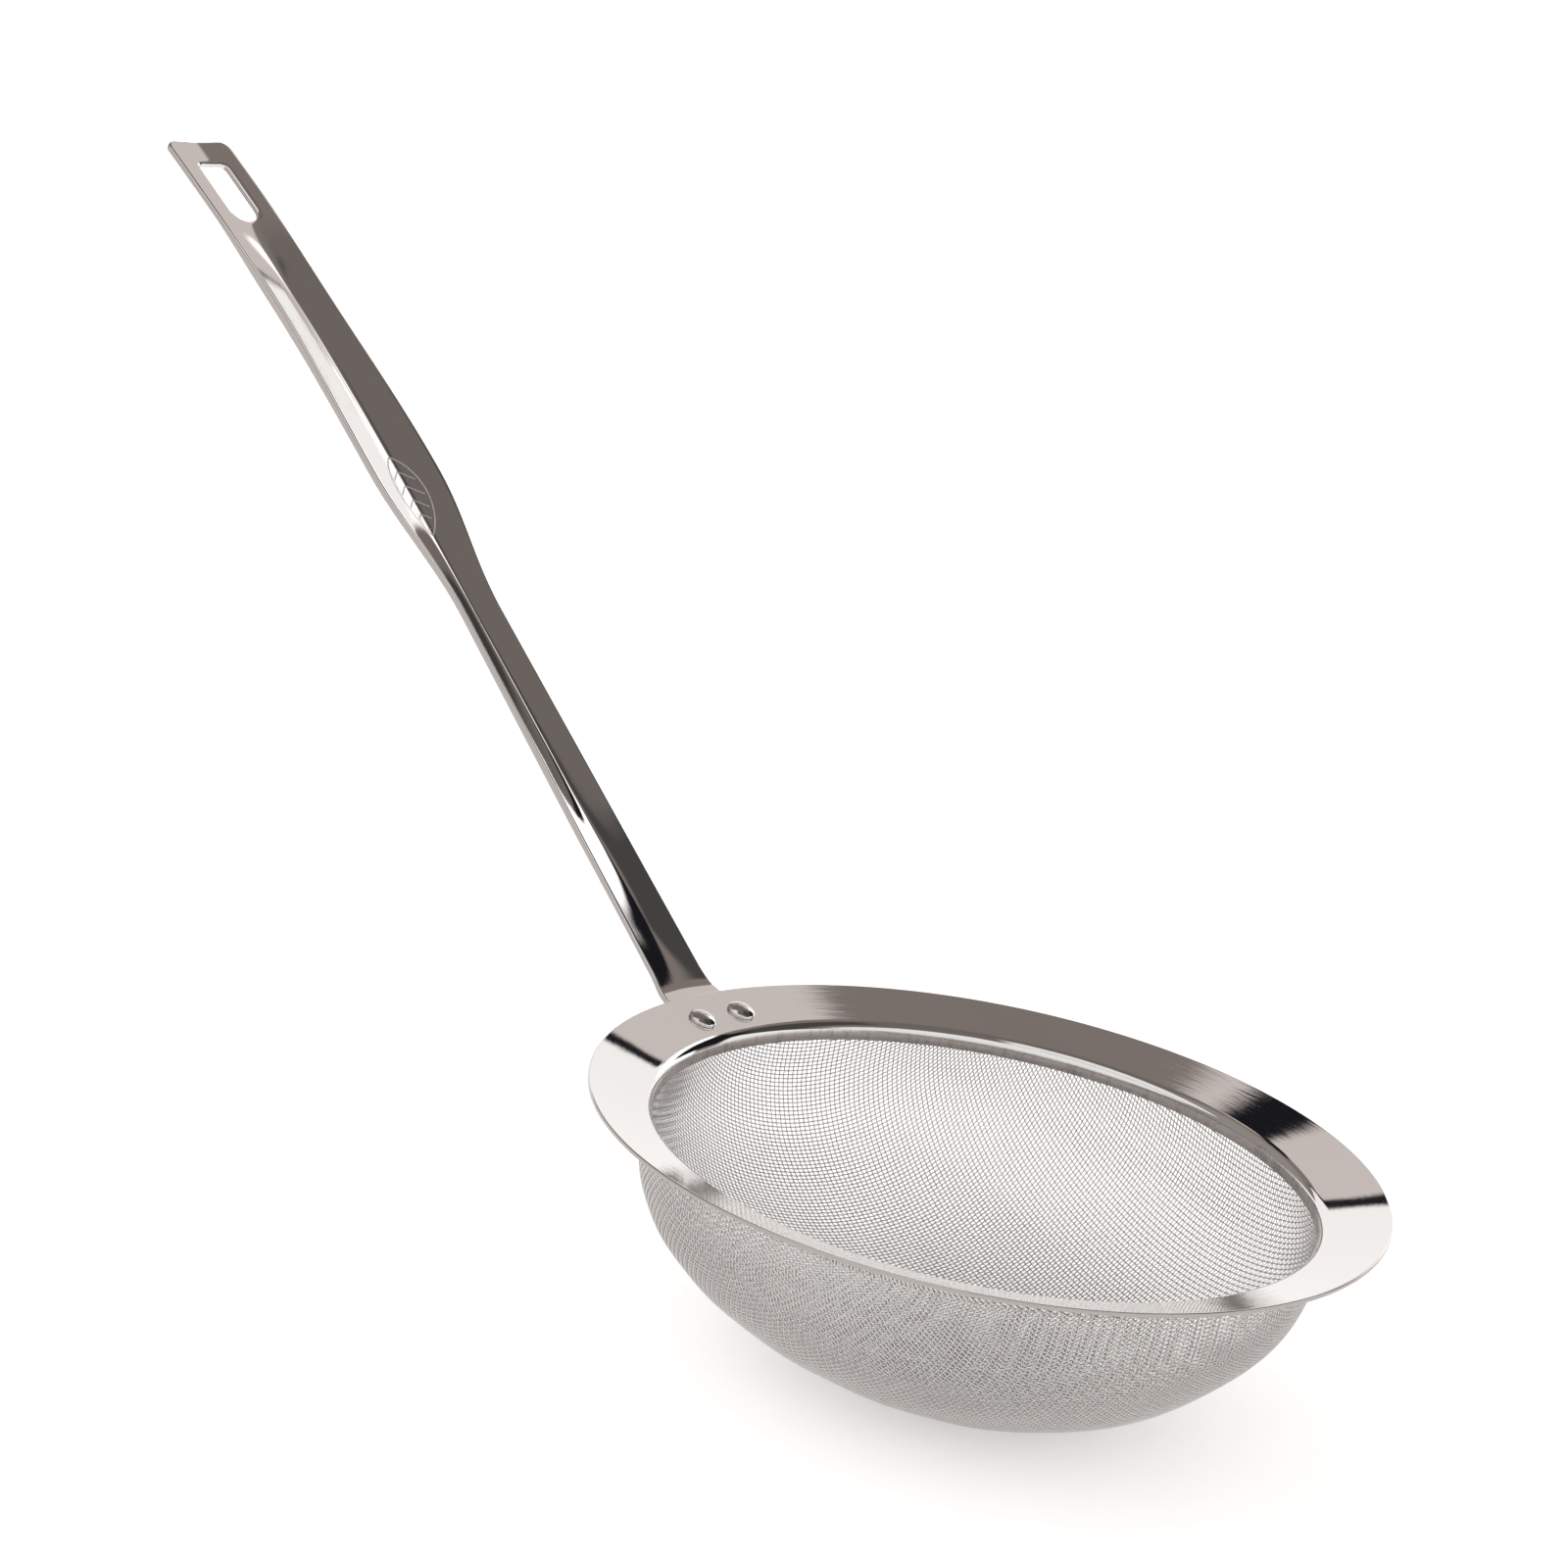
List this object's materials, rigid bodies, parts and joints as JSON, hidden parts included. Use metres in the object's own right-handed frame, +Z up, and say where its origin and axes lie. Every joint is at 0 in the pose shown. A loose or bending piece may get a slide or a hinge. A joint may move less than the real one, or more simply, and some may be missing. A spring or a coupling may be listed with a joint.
{
  "type": "tea strainer",
  "caption": "All-steel tea strainer: woven wire bowl in a wide sloping polished rim, with a long raised handle riveted to the rim and a slot at its end for hanging.",
  "frame": {"origin": "on the rim's axis, level with the inner end of the sloping flange where it starts to roll into the collar", "axes": "+Z up out of the bowl, rim level; the handle points along -X; +Y completes a right-handed frame"},
  "size_m": [0.2632, 0.12, 0.1405],
  "materials": {
    "polished_rim": "mirror-polished stainless steel with fine concentric polishing lines, collar brushed inside",
    "wire_cloth": "bright drawn stainless steel wire, plain weave",
    "polished_handle": "mirror-polished pressed stainless steel",
    "rivet_steel": "polished stainless steel"
  },
  "bodies": {
    "root": {"rim_flange": "polished_rim", "mesh_bowl": "wire_cloth", "handle": "polished_handle", "rivets": "rivet_steel"}
  },
  "joints": []
}
